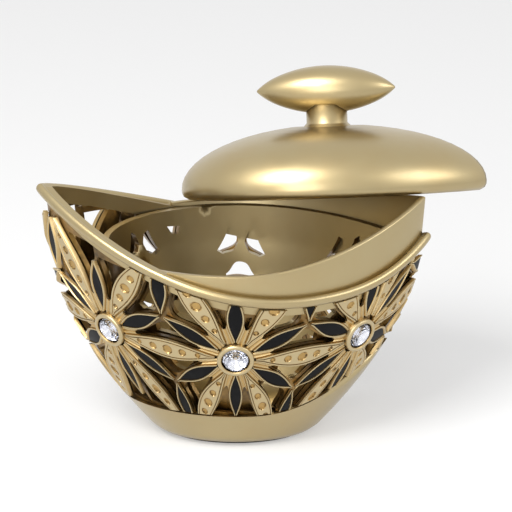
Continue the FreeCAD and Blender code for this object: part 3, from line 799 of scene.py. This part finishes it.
# %% Bezels
# Radius, height and share of antique wash and painted shade of each point of the ring.
RING_PROFILE = (
    (8.6, 0.0, 0.3), (8.6, 2.2, 0.0), (8.45, 2.7, 0.0), (8.0, 3.05, 0.0), (7.5, 3.15, 0.0),
    (7.0, 3.1, 0.0), (6.65, 2.85, 0.2), (6.45, 2.4, 1.0), (6.45, 0.4, 1.0))
RING_STEPS = 48
SLOPE_STEP = 0.004


def seat_at(share):
    """Placement on the wall at a share of the way round, with z along the wall's own normal."""
    angle = angle_at(share * ROUND)
    height = flower_line(angle)
    round_way, up_way = [
        wall_point(angle + turn, height + rise, 0.0) - wall_point(angle - turn, height - rise, 0.0)
        for turn, rise in ((SLOPE_STEP, 0.0), (0.0, SLOPE_STEP))]
    round_way.normalize()
    out_way = round_way.cross(up_way).normalized()
    rotation = Matrix((round_way, out_way.cross(round_way), out_way)).transposed().to_4x4()
    origin = Matrix.Translation(wall_point(angle, height, SEAT_DEPTH) * MM)
    return origin @ rotation @ Matrix.Scale(MM, 4)


flower_seats = [seat_at(share) for share in FLOWER_SHARES]

for number, seat in enumerate(flower_seats, start=1):
    bm = relief_mesh()
    recess = bm.verts.layers.float["recess"]
    profile = []
    for radius, height, wash_shade_share in RING_PROFILE:
        vert = bm.verts.new((radius, 0.0, height))
        vert[recess] = wash_shade_share
        profile.append(vert)
    edges = [bm.edges.new(pair) for pair in zip(profile, profile[1:])]
    bmesh.ops.spin(bm, geom=profile + edges, cent=(0, 0, 0), axis=(0, 0, 1), angle=2 * math.pi,
                   steps=RING_STEPS, use_merge=True)
    bmesh.ops.recalc_face_normals(bm, faces=bm.faces)
    bmesh.ops.transform(bm, matrix=seat, verts=bm.verts)
    relief_piece(bm, "ring_%d" % number, [petal_gold], "bezel_%d" % number)
print("bezels:", len(flower_seats))

# %% Crystals
STONE_SIDES = 16
STONE_RADIUS = 5.95
POINT_LOW, GIRDLE_LOW, GIRDLE_HIGH, BREAK_HIGH, TABLE_HIGH = -0.4, 1.9, 2.2, 3.1, 3.7
BREAK_SHARE, TABLE_SHARE, POINT_SHARE = 0.82, 0.55, 0.001
POINT_MERGE = 0.05
HALF_SIDE = Matrix.Rotation(math.pi / STONE_SIDES, 3, "Z")


def extrude_ring(bm, edges, rise, scale):
    """Extrude a ring of edges up and scale it. Gives its new verts and edges."""
    made = bmesh.ops.extrude_edge_only(bm, edges=edges)["geom"]
    verts = [part for part in made if isinstance(part, bmesh.types.BMVert)]
    bmesh.ops.translate(bm, verts=verts, vec=(0.0, 0.0, rise))
    bmesh.ops.scale(bm, verts=verts, vec=(scale, scale, 1.0))
    ring = set(verts)
    new_edges = [part for part in made if isinstance(part, bmesh.types.BMEdge)]
    return verts, [edge for edge in new_edges if ring.issuperset(edge.verts)]


for number, seat in enumerate(flower_seats, start=1):
    bm = bmesh.new()
    bmesh.ops.create_circle(bm, cap_ends=False, radius=STONE_RADIUS, segments=STONE_SIDES)
    bmesh.ops.translate(bm, verts=bm.verts, vec=(0.0, 0.0, GIRDLE_LOW))
    low_edges = list(bm.edges)
    verts, edges = extrude_ring(bm, low_edges, GIRDLE_HIGH - GIRDLE_LOW, 1.0)
    verts, edges = extrude_ring(bm, edges, BREAK_HIGH - GIRDLE_HIGH, BREAK_SHARE)
    bmesh.ops.rotate(bm, verts=verts, cent=(0, 0, 0), matrix=HALF_SIDE)
    verts, edges = extrude_ring(bm, edges, TABLE_HIGH - BREAK_HIGH, TABLE_SHARE / BREAK_SHARE)
    bmesh.ops.edgeloop_fill(bm, edges=edges)
    crown_faces = set(bm.faces)
    verts, edges = extrude_ring(bm, low_edges, POINT_LOW - GIRDLE_LOW, POINT_SHARE)
    bmesh.ops.remove_doubles(bm, verts=verts, dist=POINT_MERGE)
    for face in bm.faces:
        face.material_index = int(face not in crown_faces)
    bmesh.ops.recalc_face_normals(bm, faces=bm.faces)
    bmesh.ops.transform(bm, matrix=seat, verts=bm.verts)
    mesh = bpy.data.meshes.new("stone_%d" % number)
    bm.to_mesh(mesh)
    bm.free()
    stone = add_piece("stone_%d" % number, mesh, [crystal_glass, crystal_foil], "box")
    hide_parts("crystal_%d" % number)
print("crystals:", len(flower_seats))

# %% [markdown]
# ## Floor, light and camera
# The box stands on a wide pale floor. A large soft lamp at the upper left gives the highlight on the
# lid, and weaker ones light the front and fill the right. The world is white for the camera, mirrors
# and glass, and for them the floor is lifted to white too.

# %% Floor
FLOOR_HALF = 4.0
FLOOR_GREY, FLOOR_LIFT = (0.52, 0.52, 0.52, 1.0), 0.36


def seen_rays(tree):
    """One for rays from the camera, from mirrors and through glass, else zero."""
    path = tree.nodes.new("ShaderNodeLightPath")
    value = path.outputs["Is Camera Ray"]
    for label in ("Is Glossy Ray", "Is Transmission Ray"):
        either = tree.nodes.new("ShaderNodeMath")
        either.operation = "MAXIMUM"
        tree.links.new(value, either.inputs[0])
        tree.links.new(path.outputs[label], either.inputs[1])
        value = either.outputs["Value"]
    return value


bm = bmesh.new()
bmesh.ops.create_grid(bm, x_segments=1, y_segments=1, size=FLOOR_HALF)
floor_mesh = bpy.data.meshes.new("floor")
bm.to_mesh(floor_mesh)
bm.free()
floor = bpy.data.objects.new("floor", floor_mesh)
bpy.context.scene.collection.objects.link(floor)
floor_white, tree, shader = blank("floor_white")
shader.inputs["Base Color"].default_value = FLOOR_GREY
shader.inputs["Roughness"].default_value = 0.9
lift = tree.nodes.new("ShaderNodeMapRange")
lift.inputs["To Max"].default_value = FLOOR_LIFT
tree.links.new(seen_rays(tree), lift.inputs["Value"])
tree.links.new(lift.outputs["Result"], shader.inputs["Emission Strength"])
shader.inputs["Emission Color"].default_value = WHITE
floor_mesh.materials.append(floor_white)

# %% World
WORLD_LIGHT = 0.55
world = bpy.data.worlds.new("studio")
bpy.context.scene.world = world
world.use_nodes = True
tree = world.node_tree
backdrop = tree.nodes["Background"]
level = tree.nodes.new("ShaderNodeMapRange")
level.inputs["To Min"].default_value = WORLD_LIGHT
level.inputs["To Max"].default_value = 1.0
tree.links.new(seen_rays(tree), level.inputs["Value"])
tree.links.new(level.outputs["Result"], backdrop.inputs["Strength"])
backdrop.inputs["Color"].default_value = WHITE


# %% Lamps and camera
LAMP_AIM = Vector((0.0, 0.0, 0.08))


def soft_lamp(name, place, width, power):
    data = bpy.data.lights.new(name, "AREA")
    data.shape = "SQUARE"
    data.size = width
    data.energy = power
    lamp = bpy.data.objects.new(name, data)
    lamp.location = place
    lamp.rotation_euler = (LAMP_AIM - Vector(place)).to_track_quat("-Z", "Y").to_euler()
    bpy.context.scene.collection.objects.link(lamp)


soft_lamp("key", (-0.42, -0.62, 1.05), 0.6, 14.0)
soft_lamp("front", (-0.25, -1.2, 0.55), 0.5, 4.0)
soft_lamp("fill", (1.1, -0.35, 0.75), 0.5, 4.0)

IMAGE_PIXELS = 512
PIXELS_PER_MM = 2.15
AIM = Vector((0.0094, 0.0, 0.0847))
ELEVATION = math.radians(20.0)
DISTANCE = 2.5
camera_data = bpy.data.cameras.new("camera")
camera_data.sensor_width = 36.0
camera_data.lens = camera_data.sensor_width * DISTANCE / (IMAGE_PIXELS / PIXELS_PER_MM * MM)
camera = bpy.data.objects.new("camera", camera_data)
back = Vector((0.0, -math.cos(ELEVATION), math.sin(ELEVATION)))
camera.location = AIM + back * DISTANCE
camera.rotation_euler = (-back).to_track_quat("-Z", "Y").to_euler()
bpy.context.scene.collection.objects.link(camera)
bpy.context.scene.camera = camera
bpy.context.scene.view_settings.view_transform = "Standard"
print("lens %.1f mm" % camera_data.lens)
